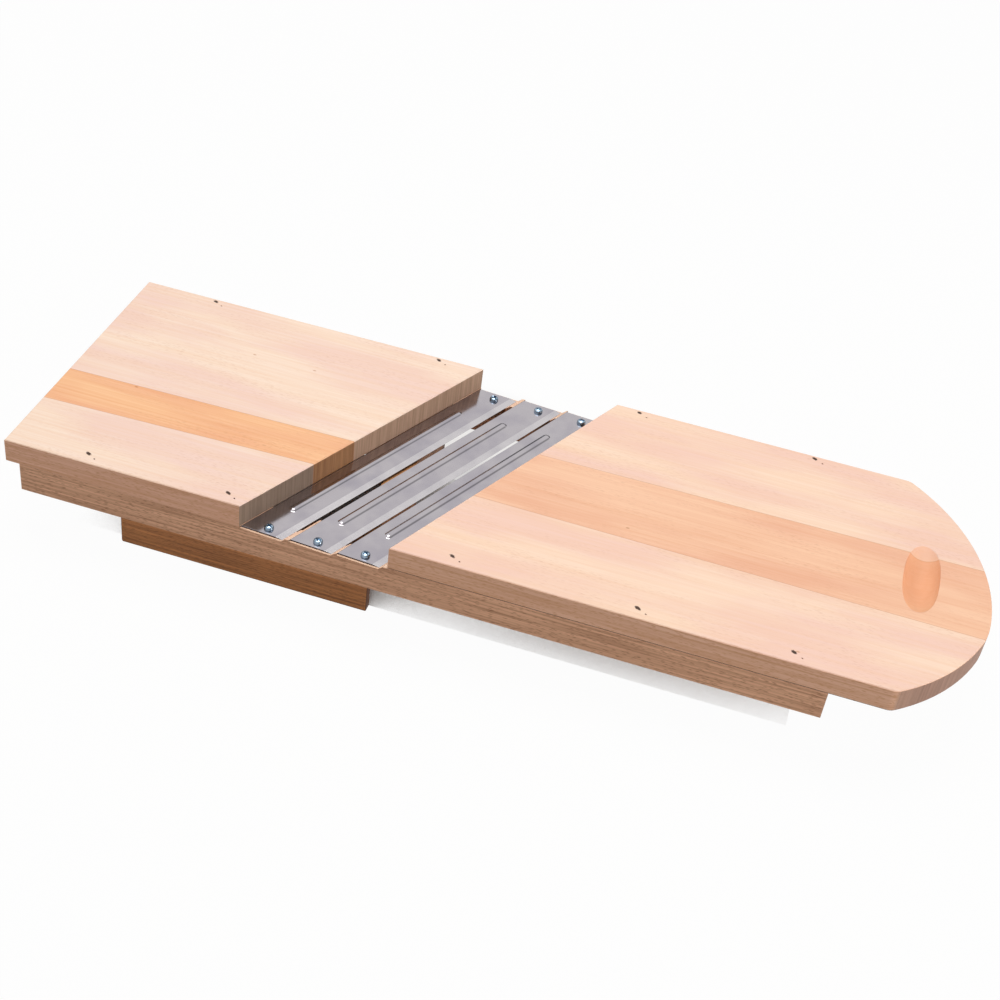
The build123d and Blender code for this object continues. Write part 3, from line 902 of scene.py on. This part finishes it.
    def thread(self, tree: FastenerTree) -> Socket:
        """Winds the thread's ridge round the shank.

        Args:
            tree: The screws' tree.

        Returns:
            The ridge.
        """
        length, radius = tree.given["Length"], tree.given["Thread Radius"]
        spiral = {
            "Resolution": 16,
            "Rotations": tree.given["Thread Turns"],
            "Start Radius": radius,
            "End Radius": radius,
            "Height": tree.add(MATH, {0: length, 1: self.bare_shank}, operation="SUBTRACT"),
        }
        line = tree.add("GeometryNodeCurveSpiral", spiral)
        edge = {"Resolution": 3, "Radius": self.thread_ridge}
        section = tree.add("GeometryNodeCurvePrimitiveCircle", edge, mode="RADIUS")
        swept = {"Curve": line, "Profile Curve": section, "Fill Caps": True}
        ridge = tree.add("GeometryNodeCurveToMesh", swept)
        drop = tree.add(MATH, {0: self.thread_tip, 1: length}, operation="SUBTRACT")
        drop = tree.add(COMBINE, {2: drop})
        return tree.add(TRANSFORM, {"Geometry": ridge, "Translation": drop})


@dataclass
class Staples:
    """The sunk staples that hold the boards on the rails."""

    slicer: Slicer
    finish: Material
    crown: float = 6.4
    wire_width: float = 1.25
    wire_depth: float = 1.0
    wire_edge: float = 0.22
    leg: float = 28.0
    bend: float = 0.8
    sunk: float = 1.0
    turn: float = -31.0
    front_inset: float = 7.0
    back_inset: float = 4.7
    front: tuple[float, ...] = (54.9, 146.8, 289.3, 402.5, 494.7)
    back: tuple[float, ...] = (55.0, 219.3, 361.3, 480.9)

    def build(self) -> None:
        """Bends the staples from flat wire and drives one in at each place."""
        sizes = {
            "Half Crown": (self.crown - self.wire_depth) / 2,
            "Leg": self.leg,
            "Bend": self.bend,
            "Wire Width": self.wire_width,
            "Wire Depth": self.wire_depth,
            "Seed": 1,
        }
        tree = FastenerTree("narrow_crown_staples", sizes, self.finish)
        half, depth = tree.given["Half Crown"], tree.given["Wire Depth"]
        left, low, high = (
            tree.add(MATH, {0: size, 1: factor}, operation="MULTIPLY")
            for size, factor in ((half, -1.0), (tree.given["Leg"], -1.0), (depth, -0.5))
        )
        corners = ((left, low), (left, high), (half, high), (half, low))
        path = {
            f"Point {number}": tree.add(COMBINE, {0: x, 2: z})
            for number, (x, z) in enumerate(corners, start=1)
        }
        line = tree.add("GeometryNodeCurvePrimitiveQuadrilateral", path, mode="POINTS")
        line = tree.add("GeometryNodeSetSplineCyclic", {"Geometry": line, "Cyclic": False})
        bend = {"Curve": line, "Count": 5, "Radius": tree.given["Bend"]}
        line = tree.add("GeometryNodeFilletCurve", bend, mode="POLY")
        flat = {"Width": depth, "Height": tree.given["Wire Width"]}
        section = tree.add("GeometryNodeCurvePrimitiveQuadrilateral", flat)
        edges = {"Curve": section, "Count": 3, "Radius": self.wire_edge}
        section = tree.add("GeometryNodeFilletCurve", edges, mode="POLY")
        wire = {"Curve": line, "Profile Curve": section, "Fill Caps": True}
        tree.set_out(tree.add("GeometryNodeCurveToMesh", wire))
        nodes = ("left_board_staples", "right_board_staples")
        mesh = tree.plain_mesh(self.stands())
        finished_piece("sunk_staples", mesh, Body.SLICER, nodes)

    def stands(self) -> list[Matrix]:
        """Finds each staple's place, its crown's top a little under the board's face.

        Returns:
            The places along the front and then along the back.
        """
        level = self.slicer.rail_top + self.slicer.board_thickness - self.sunk
        turned = Matrix.Rotation(math.radians(self.turn), 4, "Z")
        spots = self.spots(-1) + self.spots(1)
        return [Matrix.Translation((x, y, level)) @ turned for x, y in spots]

    @classmethod
    def torn_shaded_pits(cls, way: int, first: int, last: int) -> tuple[Point, ...]:
        """Gives the dark pit marks over the left ends of some crowns, where the wood hasn't closed:
        torn wood, darkened further as painted shade of the open holes.

        Args:
            way: Minus one for the front and one for the back.
            first: The first staple wanted, counted from the left.
            last: The one after the last.

        Returns:
            Their middles and their turns.
        """
        turn = math.radians(cls.turn)
        east, north = (cls.crown / 2 * part for part in (math.cos(turn), math.sin(turn)))
        return tuple((x - east, y - north, cls.turn) for x, y in cls.spots(way)[first:last])

    @classmethod
    def spots(cls, way: int) -> list[tuple[float, float]]:
        """Finds the staples' places along one side.

        Args:
            way: Minus one for the front and one for the back.

        Returns:
            Their middles.
        """
        row, inset = (cls.front, cls.front_inset) if way < 0 else (cls.back, cls.back_inset)
        y = way * (Slicer.half_width - inset)
        return [(Slicer.left_end + x, y) for x in row]


@dataclass
class Hopper:
    """The sliding hopper: darker beech, held together with brads."""

    nodes: dict[str, bpy.types.Object]
    wire: Material
    start: float = -235.9
    length: float = 167.6
    half_width: float = 78.2
    block: float = 14.0
    brad_thickness: float = 1.0
    brad_width: float = 1.3
    brad_length: float = 24.0
    brad_heights: tuple[float, float] = (28.0, 46.0)
    shank_share: float = 0.68
    point_start: float = 0.875
    brad_outline: tuple[tuple[float, float], ...] = (
        (0.0, 0.7), (0.0156, 0.9), (0.0312, 1.0), (0.0468, shank_share), (point_start, 0.66),
        (1.0, 0.06),
    )

    def build(self) -> None:
        """Dresses the hopper's wood and makes its brads."""
        tones = dict(
            pale="#d39b66", blush="#c98e5b", late_wood="#9c5f31", fleck="#6b3b1c", side="#db955a",
            cross_cut="#7d4f2e", cross_dark="#5a371f", ring_strength=0.15, side_fleck=0.6,
        )
        cuts = {
            f"hopper_{piece}": Beech(
                f"beech_hopper_{wood}", **tones, shift=(start, 9, 2), ring=ring, grain_turn=turn
            )
            for piece, wood, start, ring, turn in (
                ("front_side", "front", 5200, 3.0, 0),
                ("back_side", "back", 5900, 3.0, 0),
                ("left_end", "left_end", 6600, 3.2, 90),
                ("right_end", "right_end", 7400, 3.2, 90),
            )
        }
        dress(self.nodes, cuts)
        self.brads()

    def brads(self) -> None:
        """Makes the eight brads, with a small tapered head and a blunt point."""
        sizes = {
            "Thickness": self.brad_thickness,
            "Width": self.brad_width / self.shank_share,
            "Length": self.brad_length,
            "Seed": 3,
        }
        tree = FastenerTree("flat_wire_brads", sizes, self.wire)
        thickness, width, length = (tree.given[name] for name in ("Thickness", "Width", "Length"))
        size = tree.add(COMBINE, {0: thickness, 1: width, 2: length})
        cuts = {"Size": size, "Vertices X": 3, "Vertices Y": 4, "Vertices Z": 65}
        bar = tree.add("GeometryNodeMeshCube", cuts)
        place = tree.add(SEPARATE, {0: tree.add("GeometryNodeInputPosition")}).node.outputs
        depth = tree.add(MATH, {0: place["Z"], 1: length}, operation="DIVIDE")
        share = tree.add(MATH, {0: 0.5, 1: depth}, operation="SUBTRACT")
        limits = {"From Min": self.point_start, "From Max": 1.0, "To Min": 1.0, "To Max": 0.3}
        thick = tree.add(RANGE, {"Value": share, **limits})
        wide = tree.shaped_by(share, list(self.brad_outline))
        x, y = (
            tree.add(MATH, {0: place[axis], 1: factor}, operation="MULTIPLY")
            for axis, factor in (("X", thick), ("Y", wide))
        )
        half = tree.add(MATH, {0: length, 1: 0.5}, operation="MULTIPLY")
        z = tree.add(MATH, {0: place["Z"], 1: half}, operation="SUBTRACT")
        spot = tree.add(COMBINE, {0: x, 1: y, 2: z})
        tree.set_out(tree.add("GeometryNodeSetPosition", {"Geometry": bar, "Position": spot}))
        nodes = ("hopper_left_end_brads", "hopper_right_end_brads")
        mesh = tree.plain_mesh(self.stands())
        finished_piece("tapered_brads", mesh, Body.HOPPER, nodes)

    def stands(self) -> list[Matrix]:
        """Finds each brad's place, its head looking out of the hopper's side.

        Returns:
            The places in the front side and then in the back one.
        """
        middles = (self.start + self.block / 2, self.start + self.length - self.block / 2)
        return [
            Matrix.Translation((x, way * self.half_width, z))
            @ Matrix(((1, 0, 0), (0, 0, way), (0, -way, 0))).to_4x4()
            for way in (-1, 1)
            for x in middles
            for z in self.brad_heights
        ]


@dataclass(frozen=True)
class Studio:
    """The camera, the soft light and the pale floor, in metres."""

    position: Point = (0.1515, -0.8003, 0.7174)
    azimuth: float = -11.312
    elevation: float = 39.165
    roll: float = 8.149
    lens: float = 59.112
    hopper_track: tuple[tuple[float, float], ...] = ((-0.0376, 0.2388), (0.0, 0.0717))
    shade_middle: Point = (-0.05, 0.1, 0.0)
    sky_reach: float = 0.3
    floor_half: float = 4.0

    def build(self) -> None:
        """Sets up everything that isn't the object."""
        self.camera()
        self.world()
        self.lamps()
        self.floor()
        bpy.context.scene.view_settings.view_transform = "Standard"

    def camera(self) -> None:
        """Looks at the object as the photograph does."""
        azimuth, elevation, roll = (
            math.radians(angle) for angle in (self.azimuth, self.elevation, self.roll)
        )
        ahead = Vector((math.sin(azimuth), math.cos(azimuth), 0))
        look = ahead * math.cos(elevation) - Vector((0, 0, math.sin(elevation)))
        level = Vector((math.cos(azimuth), -math.sin(azimuth), 0))
        upright = level.cross(look)
        right = math.cos(roll) * level + math.sin(roll) * upright
        up = math.cos(roll) * upright - math.sin(roll) * level
        lens = bpy.data.cameras.new("camera")
        lens.lens = self.lens
        lens.sensor_width = 36.0
        camera = bpy.data.objects.new("camera", lens)
        matrix = Matrix((right, up, -look)).transposed().to_4x4()
        matrix.translation = self.position
        camera.matrix_world = matrix
        bpy.context.scene.collection.objects.link(camera)
        bpy.context.scene.camera = camera

    def world(self) -> None:
        """Surrounds the object with soft light that shows as white."""
        world = bpy.data.worlds.new("studio")
        bpy.context.scene.world = world
        world.use_nodes = True
        tree = world.node_tree
        tree.nodes.clear()
        seen = self.seen_directly(tree)
        fill = add(tree, "ShaderNodeBackground", {"Color": "#f4f5f8", "Strength": 0.36})
        room = add(tree, "ShaderNodeBackground", {"Color": self.dark_flags(tree), "Strength": 1.0})
        shown = add(tree, "ShaderNodeMixShader", {0: seen, 1: fill, 2: room})
        add(tree, "ShaderNodeOutputWorld", {"Surface": shown})

    @staticmethod
    def dark_flags(tree: Tree) -> Socket:
        """Lets the metal mirror a dark room around the table and a dim cloth on its right.

        Args:
            tree: The world's tree.

        Returns:
            The world's colour: white to the camera and over the object.
        """
        way = add(tree, "ShaderNodeTexCoord", out="Generated")
        height = add(tree, SEPARATE, {0: way}, "Z")
        limits = {"Value": height, "From Min": 0.42, "From Max": 0.12, "To Max": 0.92}
        room = add(tree, RANGE, limits, **SMOOTH)
        rightward = {0: way, 1: (0.958, -0.287, 0.0)}
        right = add(tree, "ShaderNodeVectorMath", rightward, "Value", operation="DOT_PRODUCT")
        limits = {"Value": right, "From Min": 0.3, "From Max": 0.65, "To Max": 0.6}
        cloth = add(tree, RANGE, limits, **SMOOTH)
        dark = add(tree, MATH, {0: room, 1: cloth}, operation="MAXIMUM")
        glossy = add(tree, "ShaderNodeLightPath", out="Is Glossy Ray")
        dark = add(tree, MATH, {0: dark, 1: glossy}, operation="MULTIPLY")
        return add(tree, MIX, {0: dark, 6: "#ffffff", 7: "#20242a"}, **COLOURS)

    @staticmethod
    def seen_directly(tree: Tree) -> Socket:
        """Tells the rays that show a backdrop from the ones that light the object.

        Args:
            tree: The tree that asks.

        Returns:
            One for the camera and what mirrors or lets through, and zero otherwise.
        """
        path = add(tree, "ShaderNodeLightPath").node.outputs
        rays = {0: path["Is Camera Ray"], 1: path["Is Glossy Ray"]}
        seen = add(tree, MATH, rays, operation="MAXIMUM")
        return add(tree, MATH, {0: seen, 1: path["Is Transmission Ray"]}, operation="MAXIMUM")

    def lamps(self) -> None:
        """Hangs a large soft box over the object and a small one low on its right."""
        for name, place, size, power in (
            ("soft_box", (-0.15, 0.1, 1.9), 1.2, 24.0),
            ("side_box", (1.5, -0.3, 0.42), 0.6, 7.0),
        ):
            light = bpy.data.lights.new(name, "AREA")
            light.shape = "DISK"
            light.size = size
            light.energy = power
            light.color = linear("#fffdfa")[:3]
            lamp = bpy.data.objects.new(name, light)
            lamp.location = place
            lamp.rotation_euler = (-lamp.location).to_track_quat("-Z", "Y").to_euler()
            bpy.context.scene.collection.objects.link(lamp)

    def floor(self) -> None:
        """Lays the pale floor: white but for the object's soft shadow, and clear from below.

        Matt white paper, laid flat: it gives the eye nothing but the shadow.
        """
        mesh = bpy.data.meshes.new("floor")
        half = self.floor_half
        corners = [(-half, -half, 0), (half, -half, 0), (half, half, 0), (-half, half, 0)]
        mesh.from_pydata(corners, [], [(0, 1, 2, 3)])
        material, tree = new_material("matt_paper")
        seen = self.seen_directly(tree)
        paper = add(tree, "ShaderNodeBsdfDiffuse", {"Color": "#d2d0cc"})
        white = add(tree, "ShaderNodeEmission", {"Color": "#ffffff", "Strength": 1.0})
        track, shade, sky = self.floor_light(tree)
        covered = add(tree, MATH, {0: shade, 1: sky}, operation="MULTIPLY")
        bare = add(tree, "ShaderNodeMixShader", {0: shade, 1: paper, 2: white})
        under = add(tree, "ShaderNodeMixShader", {0: covered, 1: paper, 2: white})
        shown = add(tree, "ShaderNodeMixShader", {0: track, 1: bare, 2: under})
        surface = add(tree, "ShaderNodeMixShader", {0: seen, 1: paper, 2: shown})
        below = add(tree, "ShaderNodeNewGeometry", out="Backfacing")
        clear = add(tree, "ShaderNodeBsdfTransparent")
        surface = add(tree, "ShaderNodeMixShader", {0: below, 1: surface, 2: clear})
        add(tree, "ShaderNodeOutputMaterial", {"Surface": surface})
        mesh.materials.append(material)
        floor = bpy.data.objects.new("floor", mesh)
        bpy.context.scene.collection.objects.link(floor)

    def floor_light(self, tree: Tree) -> tuple[Socket, Socket, Socket]:
        """Tells how bright the floor shows.

        Args:
            tree: The floor's tree.

        Returns:
            Whether the hopper can stand there, the share of white on open floor, and zero
            where hopper and boards close the floor in, wherever the hopper stands.
        """
        place = add(tree, "ShaderNodeTexCoord", out="Object")
        axes = add(tree, SEPARATE, {0: place}).node.outputs
        east_west, north_south = (
            add(tree, MATH, {0: axis, 1: middle, 2: half}, operation="COMPARE")
            for axis, (middle, half) in zip(axes, self.hopper_track)
        )
        track = add(tree, MATH, {0: east_west, 1: north_south}, operation="MULTIPLY")
        ends = {0: place, 1: self.shade_middle}
        apart = add(tree, "ShaderNodeVectorMath", ends, "Value", operation="DISTANCE")
        limits = {"From Min": 0.05, "From Max": 0.095, "To Min": 0.6, "To Max": 0.97}
        shade = add(tree, RANGE, {"Value": apart, **limits}, **SMOOTH)
        reach = {"Distance": self.sky_reach}
        sky = add(tree, "ShaderNodeAmbientOcclusion", reach, "AO", samples=12)
        sky = add(tree, RANGE, {"Value": sky, "From Min": 0.1, "From Max": 0.26}, **SMOOTH)
        return track, shade, sky


def dress(nodes: dict[str, bpy.types.Object], cuts: dict[str, Beech]) -> None:
    """Gives wooden nodes their own cuts of beech.

    Args:
        nodes: The part's nodes by name.
        cuts: The wood of each of them.
    """
    for name, cut in cuts.items():
        for slot in nodes[name].material_slots:
            slot.material = cut.material()
        LOG.info("%s: dressed in %s", name, cut.name)


@dataclass
class Boards:
    """The two boards of three glued staves each, and the rails under them."""

    nodes: dict[str, bpy.types.Object]
    left_seams: tuple[tuple[float, float], ...] = ((-39.84, 0.03716), (-9.95, 0.02181))
    right_seams: tuple[tuple[float, float], ...] = ((-32.66, -0.01111), (24.45, 0.00883))

    def dress(self) -> None:
        """Gives every stave and rail its own cut of beech."""
        # The end grain of the left board's slanted cut is painted light and shade: darker on the
        # front stave (pale), paler on the back one (pale_back_lit).
        pale = dict(
            pale="#fbe3d0", blush="#f5d5c8", late_wood="#f0c7a2", fleck="#c98f64", side="#eab79b",
            cross_cut="#a08875", cross_dark="#836e5d",
        )
        pale_back_lit = {**pale, "cross_cut": "#cba78c", "cross_dark": "#aa886d"}
        pale_right = dict(
            pale="#fbddc6", blush="#f5cfbf", late_wood="#f0c29a", fleck="#c98f64", side="#ecbc9f",
            cross_cut="#b28a77", cross_dark="#967260", hollow="#f2b48a",
        )
        orange = dict(
            pale="#fbc89a", blush="#f3b78f", late_wood="#e79a62", fleck="#b96f40", side="#e2a273",
            cross_cut="#bb8859", cross_dark="#8f603c",
        )
        peach = dict(
            pale="#f8caa9", blush="#efb99a", late_wood="#e5a37c", fleck="#c0805a", side="#e2a97f",
            cross_cut="#ad7f67", cross_dark="#926751", hollow="#f0a874",
        )
        # The rails' end grain is very dark, partly painted shade for the slots' walls under the
        # blades, which are cut across the grain.
        rail = dict(
            pale="#f4d3b8", blush="#eec5ab", late_wood="#d9a67c", fleck="#946241", side="#ecb793",
            cross_cut="#7a5438", cross_dark="#4f3420",
        )
        left = dict(seams=self.left_seams)
        right = dict(seams=self.right_seams, gap_shade_height=Slicer.rail_top)
        torn_shaded_pits = Staples.torn_shaded_pits
        cuts = {
            "left_board_front_stave": Beech(
                "beech_left_front", **pale, **left, shift=(11, 40, 3), torn_shaded_pits=torn_shaded_pits(-1, 0, 2)
            ),
            "left_board_middle_stave": Beech(
                "beech_left_middle", **orange, **left, shift=(300, -20, 8), ring=2.4
            ),
            "left_board_back_stave": Beech(
                "beech_left_back", **pale_back_lit, **left, shift=(700, 10, -6), pith=(-10, -70),
                torn_shaded_pits=torn_shaded_pits(1, 0, 2),
            ),
            "right_board_front_stave": Beech(
                "beech_right_front", **pale_right, **right, shift=(1500, 35, 4), ring=2.8,
                torn_shaded_pits=torn_shaded_pits(-1, 2, 5),
            ),
            "right_board_middle_stave": Beech(
                "beech_right_middle", **peach, **right, shift=(1900, 5, 1), ring=3.0
            ),
            "right_board_back_stave": Beech(
                "beech_right_back", **pale_right, **right, shift=(2600, -50, 2), ring=3.6,
                torn_shaded_pits=torn_shaded_pits(1, 2, 4),
            ),
            "front_rail": Beech("beech_front_rail", **rail, shift=(3300, 60, 2), ring=2.6),
            "back_rail": Beech("beech_back_rail", **rail, shift=(4100, -60, 2), ring=2.6),
        }
        dress(self.nodes, cuts)


def main() -> None:
    """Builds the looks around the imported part."""
    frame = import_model()
    nodes = frame["nodes"]
    slicer = Slicer()
    slant = math.degrees(slicer.slant)
    # Stainless sheet, cold rolled: grey and smooth, with a soft mirror image of the wood.
    sheet = Steel("rolled_stainless", "#b7b2b6", "#a7a2aa", 0.14, slant)
    # The same, ground on a belt: a paler strip, scratched square to the cutting edge.
    ground = Steel("ground_stainless", "#cac6c8", "#bbb7bb", 0.18, slant, (40.0, 1500.0, 40.0))
    # The same, sheared off at the ends: torn and dull, and painted dark as shade for the shadowed
    # gap in front of the ends.
    shaded_sheared_ends = Steel("sheared_stainless_painted_shade", "#4b4548", "#2f2a2c", 0.4)
    # Zinc plate, bright dipped: bluish, and it mirrors the dark room and the soft box.
    zinc = Steel("bright_zinc_plate", "#a9bccd", "#7c91a6", 0.12)
    # Drawn wire, galvanised: dull, and brownish in its pits.
    wire = Steel("galvanised_wire", "#6b6158", "#4a4038", 0.45)
    Studio().build()
    Boards(nodes).dress()
    Blades(slicer, finishes=[sheet.material(), ground.material(), shaded_sheared_ends.material()]).build()
    Screws(slicer, zinc.material()).build()
    Staples(slicer, wire.material()).build()
    Hopper(nodes, wire.material()).build()


if __name__ == "__main__":
    logging.basicConfig(level=logging.INFO, format="%(name)s: %(message)s")
    main()
